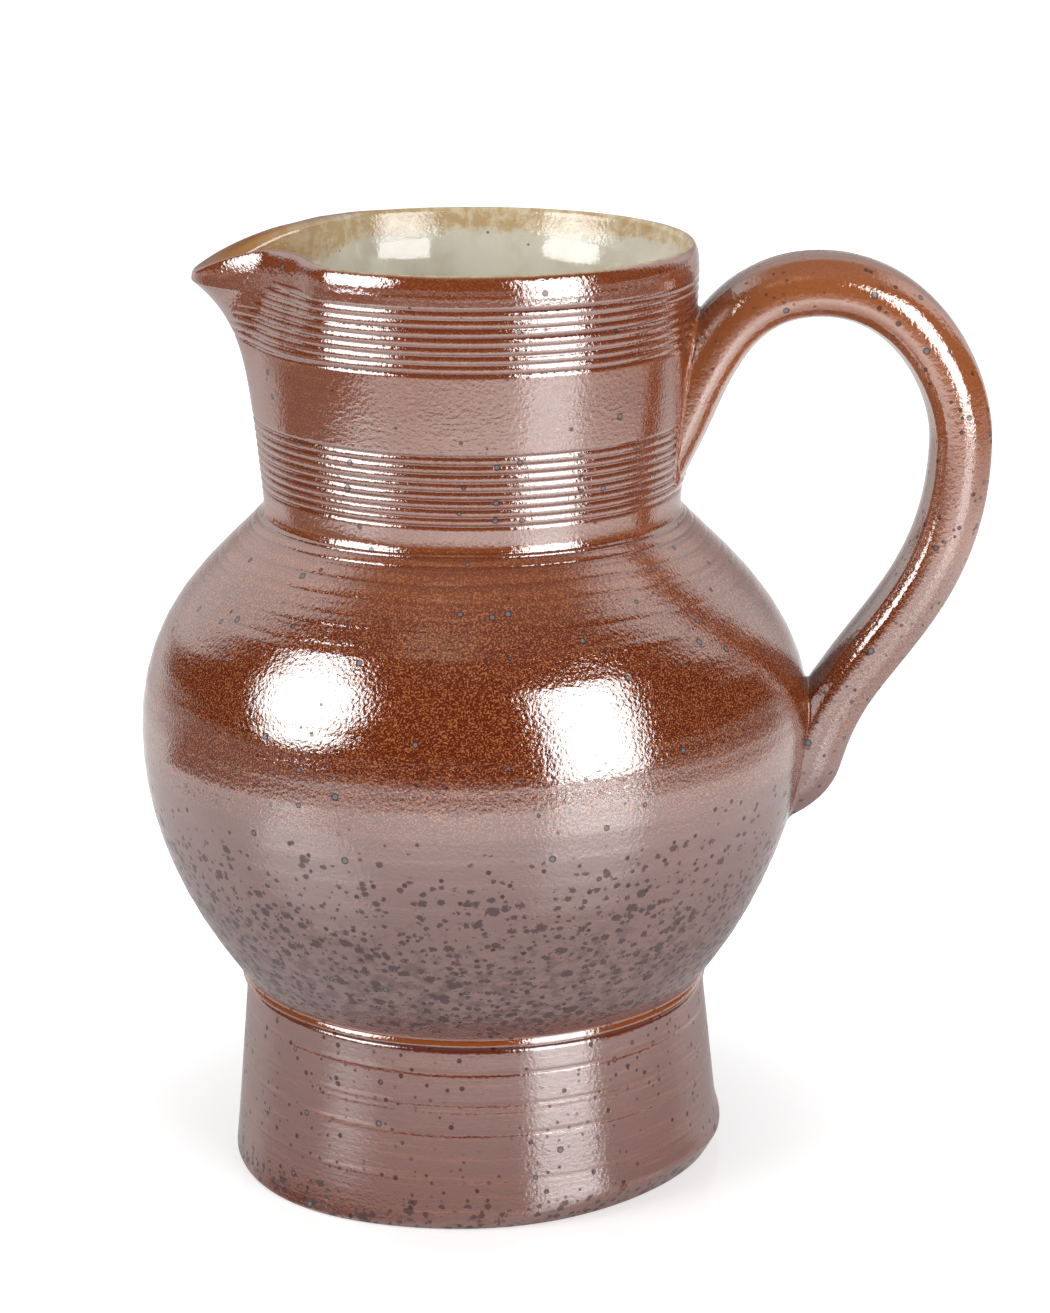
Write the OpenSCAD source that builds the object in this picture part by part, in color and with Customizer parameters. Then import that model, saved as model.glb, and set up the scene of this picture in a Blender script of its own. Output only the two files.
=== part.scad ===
// Salt-glazed stoneware water jug, built from the clay sections that a potter lutes together.
// The origin is the middle of the base, +Z runs up the axis, the handle points to +X, the spout to -X.

/* [Overall] */
// Height of the rim above the table
height = 220; // [200:1:240]

/* [Foot] */
// Radius of the foot at the table
foot_r = 58.9; // [55:0.1:63]
// Radius at the top of the foot, under the waist groove
foot_top_r = 55.2; // [52:0.1:60]
// Height of the foot, up to the seam at the waist
foot_h = 45.3; // [36:0.1:55]
// Thickness of the foot's wall
foot_wall = 6.5; // [5:0.1:10]
// Thickness of the floor
floor_t = 10; // [6:0.5:16]
// Radius of the fillet between the floor and the wall
floor_fillet = 8; // [3:0.5:14]
// Height of the trimmed bevel on the handle side
bevel_h = 5; // [2:0.1:8]
// How far the bevel cuts in at the table on the handle side
bevel_w = 3; // [1:0.1:5]
// How far it cuts in on the spout side
bevel_back = 0.4; // [0.2:0.1:0.9]

/* [Waist] */
// Depth of the groove that marks the seam
waist_groove = 0.8; // [0.2:0.1:1.5]
// Height of the bead above the seam
bead_h = 5.2; // [3:0.1:8]
// How far the bead stands out from the groove
bead_out = 3.2; // [1:0.1:4]

/* [Belly] */
// Largest radius of the belly
belly_r = 78.2; // [72:0.1:84]
// Height of the widest place
belly_z = 105; // [95:0.5:112]
// Thickness of the belly's wall
belly_wall = 5.5; // [4:0.1:8]
// Lean of the wall just above the bead, in degrees from upright
belly_flare = 35.6; // [25:0.1:45]
// Fall of the shoulder at the neck, in degrees from level
shoulder_fall = 47; // [38:0.5:55]

/* [Neck] */
// Height of the seam between shoulder and neck
neck_z = 158.3; // [150:0.1:165]
// Radius of the neck at that seam
neck_r = 48.2; // [44:0.1:52]
// Radius of the rim
rim_r = 52.4; // [48:0.1:58]
// How far the neck swells out at half its height
neck_swell = 0.9; // [0:0.1:2]
// Thickness of the neck's wall and of its rounded lip
neck_wall = 5; // [4:0.1:7]

/* [Groove bands] */
// Share of the neck's height that stays plain between the two bands
plain_share = 0.3; // [0.2:0.01:0.4]
// Share of the distance from one groove to the next that a groove takes up
groove_share = 0.7; // [0.4:0.05:0.8]
// Depth of a groove
groove_d = 0.45; // [0.2:0.05:0.8]
// Grooves in the band under the rim
upper_grooves = 8; // [4:1:9]
// From the rim down to the topmost groove
upper_band_drop = 7.5; // [6:0.1:10]
// Grooves in the band above the shoulder
lower_grooves = 9; // [4:1:9]
// From the shoulder seam up to the lowest groove
lower_band_rise = 5.6; // [3:0.1:7]

/* [Luted seams] */
// Height of the laps at the waist and at the shoulder
lap_h = 3; // [2:0.1:4]
// Film of slip left in a lap
slip = 0.1; // [0.05:0.05:0.3]

/* [Spout] */
// Half of the angle that the spout takes out of the neck, in degrees
spout_half_angle = 24; // [20:0.5:30]
// Share of the neck's height that the notch for the spout takes, from the rim down
spout_share = 0.68; // [0.5:0.01:0.8]
// How far the tip stands out from the neck
spout_reach = 13.6; // [8:0.1:18]
// How far the tip hangs below the rim
spout_drop = 9; // [4:0.1:14]
// How much thicker the wall is at the tip than in the neck
spout_tip_extra = 1.6; // [0.5:0.1:3]

/* [Handle] */
// Width of the strap
handle_w = 22.5; // [18:0.1:26]
// Thickness of the strap
handle_t = 15.3; // [11:0.1:18]
// Depth of the channel along the back of the strap
handle_channel = 0.9; // [0:0.1:2]
// Clear room for the fingers between the neck and the strap
finger_room = 55.6; // [42:0.1:65]
// From the rim down to the top of the arch
arch_drop = 1.4; // [0:0.1:20]
// Middle of the arch, out from the neck
arch_out = 30; // [24:0.5:36]
// Height of the outermost place above the shoulder seam
bow_rise = 16.3; // [5:0.1:24]
// Height of the upper root above the shoulder seam
upper_root_rise = 19.3; // [16:0.1:26]
// How deep the middle of the strap lies in the neck there
upper_root_sink = 3.3; // [1:0.1:5]
// Rise of the strap at the upper root, in degrees from level
upper_root_lean = 66.6; // [55:0.1:75]
// Height of the lower root below the widest place of the belly
lower_root_fall = 5.8; // [0:0.1:15]
// How far the middle of the strap stands off the belly there
lower_root_off = 2.3; // [0:0.1:5]
// Fall of the strap at the lower root, in degrees from level
lower_root_lean = 75.5; // [65:0.1:85]

/* [Lutes] */
// Width of the wiped clay around a root of the handle
lute_w = 2.5; // [1:0.1:4]
// Thickness of the wiped clay on the wall
lute_t = 1.4; // [0.6:0.1:2.5]

/* [Lining] */
// Thickness of the liner glaze
lining_t = 0.6; // [0.4:0.1:1]
// From the rim down to the edge of the liner glaze
lining_drop = 7; // [5:0.5:20]

/* [Hidden] */
$fn = 96;

glaze = [0.46, 0.21, 0.13];
glaze_dark = [0.40, 0.18, 0.12];
glaze_tan = [0.55, 0.32, 0.18];
liner = [0.80, 0.81, 0.74];

// Sizes that follow from the driving ones
base_r = foot_r - (bevel_w + bevel_back) / 2;
waist_r = foot_top_r - waist_groove;
bead_r = waist_r + bead_out;
bead_z = foot_h + bead_h;
foot_bore = foot_top_r - foot_wall;
waist_lap_r = (waist_r + foot_bore) / 2;
neck_bore = neck_r - neck_wall;
neck_lap_r = neck_bore + neck_wall / 2;
lip_r = neck_wall / 2;
shoulder_seat = 1;
neck_h = height - neck_z;
grooved_h = (1 - plain_share) * neck_h - lower_band_rise - upper_band_drop;
groove_pitch = grooved_h / (lower_grooves + upper_grooves - 2);
groove_w = groove_share * groove_pitch;
spout_depth = spout_share * neck_h;
spout_z = height - spout_depth;
lining_top = height - lining_drop;
curve_steps = 12;

function lerp(a, b, u) = a + (b - a) * u;
function bezier(p, u) =
    pow(1 - u, 3) * p[0] + 3 * pow(1 - u, 2) * u * p[1] + 3 * (1 - u) * u * u * p[2] + pow(u, 3) * p[3];
function bezier_slope(p, u) =
    3 * pow(1 - u, 2) * (p[1] - p[0]) + 6 * (1 - u) * u * (p[2] - p[1]) + 3 * u * u * (p[3] - p[2]);
function reversed(list) = [for (i = [len(list) - 1 : -1 : 0]) list[i]];

// Outer wall of the neck without its grooves, and its bore
function neck_share(z) = (z - neck_z) / neck_h;
function neck_out(z) =
    lerp(neck_r, rim_r, neck_share(z)) + 4 * neck_swell * neck_share(z) * (1 - neck_share(z));
function neck_in(z) = neck_out(z) - neck_wall;

// Outline of the belly outside, from the waist seam up to the shoulder seam, as [radius, height]
bead = [for (i = [0 : 6]) [waist_r + bead_out * sin(15 * i), bead_z - bead_h * cos(15 * i)]];
low_pull = 0.33 * (belly_z - bead_z);
wide_pull_down = 0.4 * (belly_z - bead_z);
wide_pull_up = 0.54 * (neck_z - belly_z);
shoulder_pull = 0.33 * (neck_z - belly_z);
low_curve = [
    [bead_r, bead_z],
    [bead_r + low_pull * sin(belly_flare), bead_z + low_pull * cos(belly_flare)],
    [belly_r, belly_z - wide_pull_down],
    [belly_r, belly_z]
];
high_curve = [
    [belly_r, belly_z],
    [belly_r, belly_z + wide_pull_up],
    [neck_r + shoulder_pull * cos(shoulder_fall), neck_z - shoulder_pull * sin(shoulder_fall)],
    [neck_r, neck_z]
];
belly_outside = concat(
    bead,
    [for (i = [1 : curve_steps]) bezier(low_curve, i / curve_steps)],
    [for (i = [1 : curve_steps]) bezier(high_curve, i / curve_steps)]
);

// The same inside, from the foot's bore up to the neck's bore
hollow_r = belly_r - belly_wall;
shoulder_in_z = neck_z - lap_h - shoulder_seat;
low_hollow = [
    [foot_bore, foot_h],
    [foot_bore + low_pull * sin(belly_flare), foot_h + low_pull * cos(belly_flare)],
    [hollow_r, belly_z - wide_pull_down],
    [hollow_r, belly_z]
];
high_hollow = [
    [hollow_r, belly_z],
    [hollow_r, belly_z + wide_pull_up],
    [neck_bore + shoulder_pull * cos(shoulder_fall), shoulder_in_z - shoulder_pull * sin(shoulder_fall)],
    [neck_bore, shoulder_in_z]
];
belly_inside = concat(
    [for (i = [0 : curve_steps]) bezier(low_hollow, i / curve_steps)],
    [for (i = [1 : curve_steps]) bezier(high_hollow, i / curve_steps)]
);

// Inside of the foot, from the middle of the floor up to the lap
foot_inside = concat(
    [[0, floor_t]],
    [for (i = [0 : 6]) [
        foot_bore - floor_fillet + floor_fillet * sin(15 * i),
        floor_t + floor_fillet - floor_fillet * cos(15 * i)
    ]],
    [[foot_bore, foot_h - lap_h]]
);

// Outside of the neck with its two bands of grooves
function groove(z) = [
    [neck_out(z - groove_w / 2), z - groove_w / 2],
    [neck_out(z) - groove_d, z],
    [neck_out(z + groove_w / 2), z + groove_w / 2]
];
lower_band_z = neck_z + lower_band_rise;
upper_band_z = height - upper_band_drop - (upper_grooves - 1) * groove_pitch;
neck_outside = concat(
    [[neck_r, neck_z]],
    [for (i = [0 : lower_grooves - 1]) each groove(lower_band_z + i * groove_pitch)],
    [for (i = [0 : upper_grooves - 1]) each groove(upper_band_z + i * groove_pitch)]
);
lip = [for (i = [0 : 12]) [
    neck_out(height - lip_r) - lip_r + lip_r * cos(15 * i),
    height - lip_r + lip_r * sin(15 * i)
]];
bore_steps = 8;
neck_inside = [for (i = [0 : bore_steps])
    let (z = lerp(neck_z, height - lip_r, i / bore_steps))
    [neck_in(z), z]
];

// Solid of revolution that fills the jug's outline, used to trim what is luted on to it
module wall_form(grow) {
    neck_plain = [for (i = [1 : bore_steps])
        let (z = lerp(neck_z, height, i / bore_steps))
        [neck_out(z), z]
    ];
    outline = concat(belly_outside, neck_plain);
    rotate_extrude()
        polygon(concat(
            [[0, foot_h]],
            [for (p = outline) [p[0] + grow, p[1]]],
            [[0, height]]
        ));
}

// Sector of the neck that the spout takes the place of
module spout_sector() {
    rotate([0, 0, 180 - spout_half_angle])
        rotate_extrude(angle = 2 * spout_half_angle)
            translate([neck_bore / 2, spout_z])
                square([rim_r, 2 * spout_depth]);
}

// Closed solid through rings of the same number of points, in order, with a flat end at each side
module loft(rings) {
    n = len(rings[0]);
    last = (len(rings) - 1) * n;
    sides = [for (k = [0 : len(rings) - 2], i = [0 : n - 1])
        let (a = k * n + i, b = k * n + (i + 1) % n)
        each [[a, b, b + n], [a, b + n, a + n]]
    ];
    front = [for (i = [0 : n / 2 - 2]) each [[i, n - 1 - i, n - 2 - i], [i, n - 2 - i, i + 1]]];
    back = [for (t = front) [t[2] + last, t[1] + last, t[0] + last]];
    polyhedron(points = [for (r = rings) each r], faces = concat(sides, front, back), convexity = 6);
}

// Ring that trims the foot's lower edge, with its axis moved towards the spout
module bevel_cutter() {
    lean = bevel_w / bevel_h;
    over = 2;
    outer = foot_r + 2 * bevel_w + over;
    translate([(bevel_back - bevel_w) / 2, 0, 0])
        rotate([0, 0, 90])
            rotate_extrude()
                polygon([
                    [base_r - over * lean, -over],
                    [outer, -over],
                    [outer, bevel_h + over],
                    [base_r + (bevel_h + over) * lean, bevel_h + over]
                ]);
}

// Thrown foot with the floor, its lower edge trimmed unevenly
module foot() {
    color(glaze_dark)
        difference() {
            rotate_extrude()
                polygon(concat(
                    [[0, 0], [foot_r, 0], [foot_top_r, foot_h - waist_groove], [waist_r, foot_h]],
                    [[waist_lap_r, foot_h], [waist_lap_r, foot_h - lap_h]],
                    reversed(foot_inside)
                ));
            bevel_cutter();
        }
}

// Thrown belly, with a tongue that drops into the foot and a rebate that takes the neck
module belly() {
    color(glaze)
        rotate_extrude()
            polygon(concat(
                belly_outside,
                [[neck_lap_r + slip, neck_z], [neck_lap_r + slip, neck_z - lap_h], [neck_bore, neck_z - lap_h]],
                reversed(belly_inside),
                [[foot_bore, foot_h - lap_h], [waist_lap_r - slip, foot_h - lap_h], [waist_lap_r - slip, foot_h]]
            ));
}

// Thrown neck with the rounded lip, its spigot in the belly and a notch for the spout
module neck() {
    color(glaze)
        difference() {
            rotate_extrude()
                polygon(concat(
                    neck_outside,
                    lip,
                    reversed([for (i = [0 : bore_steps - 1]) neck_inside[i]]),
                    [[neck_bore, neck_z - lap_h], [neck_lap_r, neck_z - lap_h], [neck_lap_r, neck_z]]
                ));
            spout_sector();
        }
}

// Share of the full reach at a place across the spout, from 1 in the middle to 0 at its sides
tip_round = 0.12;
tip_power = 1.5;
flare_power = 3.2;
function beak(side) =
    pow(max(0, (1 - sqrt(side * side + tip_round * tip_round)) / (1 - tip_round)), tip_power);

// Section of the spout's wall at one angle: up the outside, over the lip and down the inside
spout_rows = 14;
spout_columns = 24;
function spout_section(side) =
    let (
        angle = 180 + side * spout_half_angle,
        share = beak(side),
        top = height - lip_r - spout_drop * share,
        rows = [for (i = [0 : spout_rows]) i / spout_rows],
        outside = [for (u = rows)
            let (z = lerp(spout_z, top, u))
            [neck_out(z) + spout_reach * share * pow(u, flare_power), z]
        ],
        inside = [for (u = rows)
            let (z = lerp(spout_z, top, u))
            [neck_in(z) + (spout_reach - spout_tip_extra) * share * pow(u, flare_power), z]
        ],
        middle = (outside[spout_rows] + inside[spout_rows]) / 2,
        half = (outside[spout_rows][0] - inside[spout_rows][0]) / 2,
        over = [for (i = [1 : 6])
            [middle[0] + half * cos(i * 180 / 7), middle[1] + lip_r * sin(i * 180 / 7)]
        ]
    )
    [for (p = concat(outside, over, reversed(inside))) [p[0] * cos(angle), p[0] * sin(angle), p[1]]];

// Pulled spout, a beak that grows out of the neck's wall
module spout() {
    color(glaze)
        loft([for (k = [0 : spout_columns]) spout_section(lerp(-1, 1, k / spout_columns))]);
}

// Middle line of the handle in the plane of the spout: five curves through named places
upper_root_z = neck_z + upper_root_rise;
upper_root = [neck_out(upper_root_z) - upper_root_sink, upper_root_z];
arch = [neck_out(upper_root_z) + arch_out, height - arch_drop - handle_t / 2];
bow = [neck_out(upper_root_z) + finger_room + handle_t / 2, neck_z + bow_rise];
lower_root = [belly_r + lower_root_off, belly_z - lower_root_fall];
tail_run = 12;
tail_fall = 11;
tail_lean = 25;
tail_pull = 6;
tail = lower_root - [tail_run, tail_fall];
head_run = 16;
head = upper_root - head_run * [cos(upper_root_lean), sin(upper_root_lean)];
function heading(angle) = [cos(angle), sin(angle)];
handle_curves = [
    [
        head,
        lerp(head, upper_root, 1 / 3),
        lerp(head, upper_root, 2 / 3),
        upper_root
    ],
    [
        upper_root,
        upper_root + 0.3 * (arch[1] - upper_root[1]) * heading(upper_root_lean),
        arch - [0.71 * (arch[0] - upper_root[0]), 0],
        arch
    ],
    [
        arch,
        arch + [0.67 * (bow[0] - arch[0]), 0],
        bow + [0, 0.38 * (arch[1] - bow[1])],
        bow
    ],
    [
        bow,
        bow - [0, 0.53 * (bow[1] - lower_root[1])],
        lower_root + 0.36 * (bow[1] - lower_root[1]) * heading(lower_root_lean),
        lower_root
    ],
    [
        lower_root,
        lower_root - tail_pull * heading(lower_root_lean),
        tail + tail_pull * heading(tail_lean),
        tail
    ]
];
handle_steps = [4, 12, 12, 16, 6];

// Outline of the strap across its length, as [out from the arch, across]
strap_points = 28;
strap_power = 0.8;
function swell(x) = sign(x) * pow(abs(x), strap_power);
function strap_point(angle, grow) =
    let (
        across = (handle_w / 2 + grow) * swell(sin(angle)),
        out = (handle_t / 2 + grow) * swell(cos(angle)),
        groove = cos(angle) > 0 ? handle_channel * pow(cos(angle), 4) : 0
    )
    [out - groove, across];

// Ring of the strap at a share of one curve, square to the middle line
function strap_ring(curve, u, grow) =
    let (
        at = bezier(curve, u),
        slope = bezier_slope(curve, u),
        along = slope / norm(slope),
        out = [-along[1], along[0]]
    )
    [for (i = [0 : strap_points - 1])
        let (p = strap_point(360 * (i + 0.5) / strap_points, grow))
        [at[0] + p[0] * out[0], p[1], at[1] + p[0] * out[1]]
    ];

// Part of the strap, from the first curve to the last one that is named
module strap(first, last, grow) {
    rings = [for (c = [first : last], k = [(c == first ? 0 : 1) : handle_steps[c]])
        strap_ring(handle_curves[c], k / handle_steps[c], grow)
    ];
    loft(rings);
}

// Pulled handle, trimmed where its roots are pressed on the wall
module handle() {
    color(glaze)
        difference() {
            strap(0, 4, 0);
            wall_form(0);
        }
}

// Collar of wiped clay around a root, over the named curves of the handle
module lute(first, last) {
    color(glaze_tan)
        difference() {
            intersection() {
                strap(first, last, lute_w);
                wall_form(lute_t);
            }
            wall_form(0);
            strap(first, last, 0);
        }
}

module upper_handle_lute() {
    lute(0, 1);
}

module lower_handle_lute() {
    lute(3, 4);
}

// Poured liner glaze, a skin on the inside of foot, belly and neck
module glaze_lining() {
    wet_steps = 10;
    wet_neck = [for (i = [0 : wet_steps])
        let (z = lerp(neck_z, lining_top, i / wet_steps))
        [neck_in(z), z]
    ];
    wet = concat(foot_inside, belly_inside, wet_neck);
    last = len(wet) - 1;
    skin = [for (i = [0 : last])
        let (
            step = wet[min(i + 1, last)] - wet[max(i - 1, 0)],
            inward = [-step[1], step[0]] / norm(step)
        )
        i == 0 ? [0, floor_t + lining_t] : wet[i] + lining_t * inward
    ];
    color(liner)
        difference() {
            rotate_extrude()
                polygon(concat(wet, reversed(skin)));
            spout_sector();
        }
}

foot();
belly();
neck();
spout();
handle();
upper_handle_lute();
lower_handle_lute();
glaze_lining();
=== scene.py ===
# Salt-glazed stoneware water jug: one closed mesh for each clay section, dressed in procedural glazes.
import math

import bpy
import numpy as np
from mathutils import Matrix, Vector


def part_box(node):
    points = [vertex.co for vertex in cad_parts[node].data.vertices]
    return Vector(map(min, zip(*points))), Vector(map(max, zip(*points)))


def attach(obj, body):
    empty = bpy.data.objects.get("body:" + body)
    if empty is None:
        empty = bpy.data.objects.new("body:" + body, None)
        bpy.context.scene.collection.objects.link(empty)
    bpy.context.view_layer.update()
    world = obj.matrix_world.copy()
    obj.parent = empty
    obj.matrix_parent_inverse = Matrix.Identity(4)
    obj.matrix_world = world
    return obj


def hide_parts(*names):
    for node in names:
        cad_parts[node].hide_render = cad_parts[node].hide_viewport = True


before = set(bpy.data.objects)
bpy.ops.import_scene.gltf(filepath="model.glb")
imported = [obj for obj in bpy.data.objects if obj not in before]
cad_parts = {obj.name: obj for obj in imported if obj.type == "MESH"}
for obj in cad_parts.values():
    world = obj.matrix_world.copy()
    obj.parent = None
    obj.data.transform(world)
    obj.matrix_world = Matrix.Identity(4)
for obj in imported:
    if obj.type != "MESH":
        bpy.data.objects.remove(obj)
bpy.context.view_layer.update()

# Sizes in millimetres and turns in degrees, from the frame where it holds them
MM = 0.001
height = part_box("neck")[1].z / MM
neck_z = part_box("belly")[1].z / MM
foot_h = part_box("foot")[1].z / MM
belly_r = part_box("belly")[1].y / MM
spout_tip_r = -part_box("spout")[0].x / MM
spout_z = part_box("spout")[0].z / MM
bow_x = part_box("handle")[1].x / MM
arch_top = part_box("handle")[1].z / MM
lining_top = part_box("glaze_lining")[1].z / MM

# Foot and waist
foot_bore = 48.7
floor_t = 10.0
floor_fillet = 8.0
base_r = 57.9
base_round = 0.5
bevel_lean = 0.6
trim_turn = -42.0
swell_turn = -132.0
waist_r = 54.4
ridge_z = foot_h - 1.1
ridge_r = 55.9
bead_z = foot_h + 5.2
bead_r = 58.8

# Belly
belly_z = 105.0
belly_wall = 5.5
belly_flare = math.radians(35.6)
shoulder_fall = math.radians(47.0)

# Neck
neck_r = 48.2
rim_r = 52.4
neck_swell = 0.9
neck_wall = 5.0
neck_bore = neck_r - neck_wall
lap_h = 3.0
slip = 0.1
waist_lap_r = (waist_r + foot_bore) / 2
neck_lap_r = neck_bore + neck_wall / 2
groove_depth = 0.45
groove_pitch = 2.0
lower_band_z = neck_z + 5.6
lower_grooves = 9
upper_band_z = height - 21.5
upper_grooves = 8
keep_z = upper_band_z - 1.2
lip_out = 1.9
lip_tall = 6.5
lip_in_tall = 1.6
mouth_flare = 0.2
mouth_deep = 12.0

# Spout
spout_half = math.radians(24.0)
beak_half = 24.5
spout_lip_tall = 2.6
spout_low = 170.0
spout_full = 210.6
spout_drop = 7.1
spout_tip_extra = 1.6
pinch_in = 4.0
pinch_at = 32.0

# Lining and handle
lining_t = 0.6
lining_sunk = 0.25
handle_t = 15.3
channel = 0.9

# Columns of points round the pieces
wall_columns = 240
lining_columns = 144
neck_columns = 209
spout_columns = 65


# Shapes as functions of angle and height
def smooth_max(a, b, k):
    return (a + b + np.sqrt((a - b) ** 2 + k * k)) / 2


def smooth_min(a, b, k):
    return (a + b - np.sqrt((a - b) ** 2 + k * k)) / 2


def smooth_step(low, high, x):
    t = np.clip((x - low) / (high - low), 0.0, 1.0)
    return t * t * (3.0 - 2.0 * t)


def bump_at(x, middle, width):
    return np.exp(-(((x - middle) / width) ** 2))


def bezier(p, u):
    p = [np.asarray(q, float) for q in p]
    u = np.asarray(u, float)[:, None]
    start = (1 - u) ** 3 * p[0] + 3 * (1 - u) ** 2 * u * p[1]
    return start + 3 * (1 - u) * u * u * p[2] + u ** 3 * p[3]


def turn_from_handle(theta):
    """Degrees from the handle's side, from -180 to 180, with the front at -90."""
    return np.degrees((theta + math.pi) % (2 * math.pi) - math.pi)


def turn_from_spout(theta):
    """Degrees away from the middle of the spout, to either side."""
    return np.degrees(np.abs((theta % (2 * math.pi)) - math.pi))


def belly_curves(low_r, low_z, wide_r, high_r, high_z):
    """Line of the globe as (radius, height), from the waist to the neck."""
    low_pull = 0.33 * (belly_z - bead_z)
    high_pull = 0.33 * (neck_z - belly_z)
    low = bezier([
        (low_r, low_z),
        (low_r + low_pull * math.sin(belly_flare), low_z + low_pull * math.cos(belly_flare)),
        (wide_r, belly_z - 0.4 * (belly_z - bead_z)),
        (wide_r, belly_z),
    ], np.linspace(0, 1, 120))
    high = bezier([
        (wide_r, belly_z),
        (wide_r, belly_z + 0.54 * (neck_z - belly_z)),
        (high_r + high_pull * math.cos(shoulder_fall), high_z - high_pull * math.sin(shoulder_fall)),
        (high_r, high_z),
    ], np.linspace(0, 1, 120))
    return np.vstack([low, high[1:]])


# The outside runs on past both ends, so that the blends there have a line to meet
outside = belly_curves(bead_r, bead_z, belly_r, neck_r, neck_z)
tail = 8.0
outside = np.vstack([
    [bead_r - tail * math.tan(belly_flare), bead_z - tail],
    outside,
    [neck_r - tail / math.tan(shoulder_fall), neck_z + tail],
])
hollow_top = neck_z - lap_h - 1.0
hollow = belly_curves(foot_bore, foot_h, belly_r - belly_wall, neck_bore, hollow_top)


def beak(theta):
    """Share of the spout's pull, 1 in its middle and 0 beside it."""
    return np.maximum(0.0, 1 - (turn_from_spout(theta) / beak_half) ** 2) ** 2


def neck_line(z):
    s = (z - neck_z) / (height - neck_z)
    return neck_r + (rim_r - neck_r) * s + 4 * neck_swell * s * (1 - s)


def flare(theta, z):
    """Share of the spout's reach, growing towards its lip."""
    u = np.clip((z - spout_low) / (spout_full - spout_low), 0.0, 1.0)
    return beak(theta) * (0.25 * u ** 2 + 0.75 * u ** 5)


tip_round = 1.2
spout_reach = spout_tip_r - tip_round - neck_line(spout_full)


def pinch(theta, z):
    """Dents left beside the spout by the two fingers that held the rim while it was pulled."""
    off = turn_from_spout(theta)
    near, fade_from, fade_to = 8.0, pinch_at + 6.0, pinch_at + 24.0
    low_z, high_z = 192.0, 221.0
    held = smooth_step(near, pinch_at, off) * (1 - smooth_step(fade_from, fade_to, off))
    return pinch_in * held * smooth_step(low_z, high_z, z)


def band(theta, z, first, count, change):
    """Depth of the nearest groove of a band, from 0 on its lands to 1."""
    t = (z - first) / groove_pitch
    f = t - np.floor(t)
    depth = 0.86 + 0.14 * np.sin(2 * theta + change * np.floor(t + 0.5))
    return np.where((t > -0.5) & (t < count - 0.5), (1 - 2 * f) ** 2 * depth, 0.0)


def grooves(theta, z):
    """Depth of all turned grooves of the neck, which fade out beside the spout."""
    wobble = 0.12 * np.sin(theta + 1.0) + 0.05 * np.sin(3 * theta + 0.4)
    fade_at = np.interp(z, [upper_band_z, height - 6.0], [4.0, 29.0])
    shown = smooth_step(fade_at - 3.0, fade_at + 5.0, turn_from_spout(theta))
    fine_drops, fine_width, fine_share = (5.8, 4.8, 3.9), 0.28, 0.27
    fine = sum(bump_at(z, height - drop, fine_width) for drop in fine_drops)
    return (
        band(theta, z + wobble, lower_band_z, lower_grooves, 1.7)
        + band(theta, z + wobble, upper_band_z, upper_grooves, 2.3) * shown
        + fine_share * fine * shown
    )


# Fine lines turned in the shoulder: height and depth
shoulder_line_width = 0.32
shoulder_lines = [
    (157.6, 0.14), (156.7, 0.20), (154.9, 0.17), (154.1, 0.09), (151.8, 0.12), (151.1, 0.07),
    (148.7, 0.08), (147.2, 0.05), (145.4, 0.05), (143.3, 0.05), (139.8, 0.03),
]


def turned_lines(theta, z):
    wander = 0.25 * np.sin(theta * 2 + 0.7)
    return sum(depth * bump_at(z + wander, at, shoulder_line_width) for at, depth in shoulder_lines)


def waist_ridge(z):
    """Crown of the foot, which leans in above and below its crest."""
    lean, crest_round = 0.5, 0.5
    return ridge_r - lean * (np.hypot(z - ridge_z, crest_round) - crest_round)


def wall_r(theta, z):
    """Outside radius of belly, neck and spout."""
    turn = turn_from_handle(theta)
    waist_blend, shoulder_blend = 0.25, 1.3
    ring_deep, ring_pitch, fine_deep, fine_pitch = 0.035, 6.3, 0.02, 2.9
    oval = 0.12
    bulge, bulge_z, bulge_turn, bulge_below, bulge_above = 1.5, 112.0, 30.0, 13.0, 24.0
    dent, dent_z, dent_turn, dent_tall = 0.5, 74.0, 40.0, 14.0

    line = np.interp(z, outside[:, 1], outside[:, 0])
    body = np.where(z < bead_z + tail, smooth_max(line, waist_ridge(z), waist_blend), line)
    r = smooth_max(body, neck_line(z), shoulder_blend) - turned_lines(theta, z)
    calm = smooth_step(bead_z, bead_z + 10, z) * (1 - smooth_step(neck_z - 4, neck_z, z))
    rings = ring_deep * np.sin(2 * math.pi * z / ring_pitch - theta)
    fine_rings = fine_deep * np.sin(2 * math.pi * z / fine_pitch - 2 * theta)
    r = r + calm * (rings + fine_rings)
    r = r + oval * np.cos(2 * theta + 0.9) * smooth_step(foot_h, bead_z, z)
    bulge_tall = np.where(z < bulge_z, bulge_below, bulge_above)
    r = r + bulge * bump_at(turn, 0.0, bulge_turn) * bump_at(z, bulge_z, bulge_tall)
    r = r - dent * bump_at(turn, 0.0, dent_turn) * bump_at(z, dent_z, dent_tall)
    return r - groove_depth * grooves(theta, z) + spout_reach * flare(theta, z) - pinch(theta, z)


def bore_r(theta, z):
    """Inside radius of neck and spout."""
    ring_deep, ring_pitch, flare_blend = 0.05, 5.1, 1.5
    beside_spout, clear_of_spout = 24.0, 60.0
    rings = ring_deep * np.sin(2 * math.pi * z / ring_pitch - theta)
    opening = mouth_flare * smooth_max(z - rim_top(theta) + mouth_deep, 0.0, flare_blend)
    opening = opening * smooth_step(beside_spout, clear_of_spout, turn_from_spout(theta))
    r = neck_line(z) - neck_wall + rings + opening - pinch(theta, z)
    return r + (spout_reach - spout_tip_extra) * flare(theta, z)


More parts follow.
